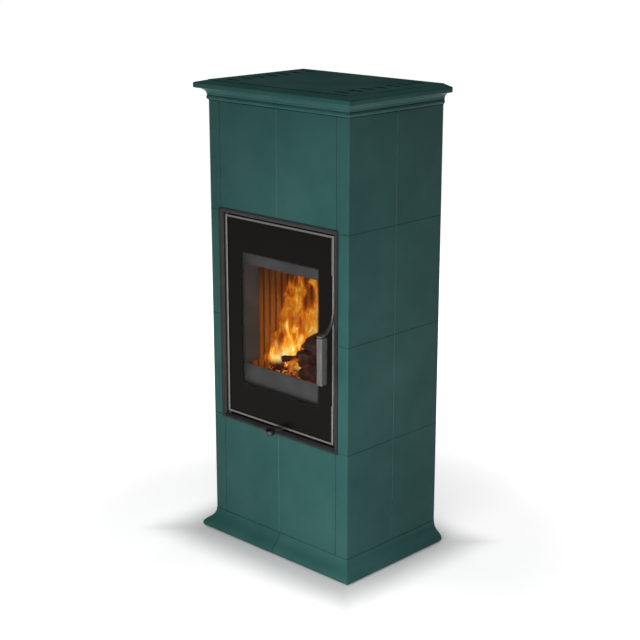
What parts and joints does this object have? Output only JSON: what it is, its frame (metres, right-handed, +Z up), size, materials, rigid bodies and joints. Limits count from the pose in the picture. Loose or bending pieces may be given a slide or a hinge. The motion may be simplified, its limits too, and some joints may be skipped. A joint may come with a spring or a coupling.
{
  "type": "tiled wood stove",
  "caption": "Tall free-standing wood stove in glazed ceramic tiles, with a glass fire door, a square upright door handle, an air slide with a knob, and a vented top.",
  "frame": {"origin": "centre of the whole stove in plan, on the floor", "axes": "+Z up; the door faces -Y; +X to the right seen from the front"},
  "size_m": [0.622, 0.447, 1.4052],
  "materials": {
    "glaze": "glossy dark teal-green stove glaze",
    "black_steel": "satin black stove paint",
    "rim_steel": "fine brushed, warm grey",
    "grey_steel": "matt heat-proof grey paint",
    "handle_steel": "satin brushed",
    "fire_brick": "matt fire-proof lining, sooted",
    "grate_iron": "matt cast surface, sooted",
    "door_glass": "clear ceramic glass with a black border",
    "seal_rope": "braided glass-fibre rope",
    "knob_black": "satin black heat-proof plastic"
  },
  "bodies": {
    "casing": {"corner_tile_left_1": "glaze", "corner_tile_left_2": "glaze", "corner_tile_left_3": "glaze", "corner_tile_left_4": "glaze", "corner_tile_right_1": "glaze", "corner_tile_right_2": "glaze", "corner_tile_right_3": "glaze", "corner_tile_right_4": "glaze", "side_tile_left_1": "glaze", "side_tile_left_2": "glaze", "side_tile_left_3": "glaze", "side_tile_left_4": "glaze", "side_tile_right_1": "glaze", "side_tile_right_2": "glaze", "side_tile_right_3": "glaze", "side_tile_right_4": "glaze", "front_tile_lower_left": "glaze", "front_tile_lower_right": "glaze", "front_tile_upper_left": "glaze", "front_tile_upper_right": "glaze", "plinth_left": "glaze", "plinth_right": "glaze", "cornice_left": "glaze", "cornice_right": "glaze", "top_plate": "glaze", "surround_frame": "black_steel", "flue_collar": "black_steel", "stand_left": "black_steel", "stand_right": "black_steel", "rear_panel_lower": "black_steel", "rear_panel_upper": "black_steel", "hinge_pin_upper": "grey_steel", "hinge_pin_lower": "grey_steel", "air_box": "grey_steel", "face_plate": "grey_steel", "firebox_floor": "grey_steel", "firebox_roof": "grey_steel", "firebox_back": "grey_steel", "firebox_wall_left": "grey_steel", "firebox_wall_right": "grey_steel", "throat_cheek_left": "grey_steel", "throat_cheek_right": "grey_steel", "ash_pan": "grey_steel", "lining_back": "fire_brick", "lining_left": "fire_brick", "lining_right": "fire_brick", "baffle_plate": "fire_brick", "hearth_plate": "grate_iron", "grate": "grate_iron"},
    "door": {"door_frame": "rim_steel", "door_glass": "door_glass", "glass_retainer": "grey_steel", "door_seal": "seal_rope"},
    "handle": {"handle_lever": "handle_steel", "handle_grip": "handle_steel"},
    "air_control": {"air_slide": "grey_steel", "air_knob": "knob_black"}
  },
  "joints": [
    {"name": "door_hinge", "type": "hinge", "parent": "casing", "child": "door", "pos_m": [-0.215, -0.1665, 0.708], "axis": [0, 0, -1], "range_deg": [0, 110]},
    {"name": "handle_turn", "type": "hinge", "parent": "door", "child": "handle", "pos_m": [0.2179, -0.1675, 0.708], "axis": [0, 0, 1], "range_deg": [0, 35]},
    {"name": "air_slide_travel", "type": "slide", "parent": "casing", "child": "air_control", "axis": [1, 0, 0], "range_m": [-0.045, 0.045]}
  ]
}
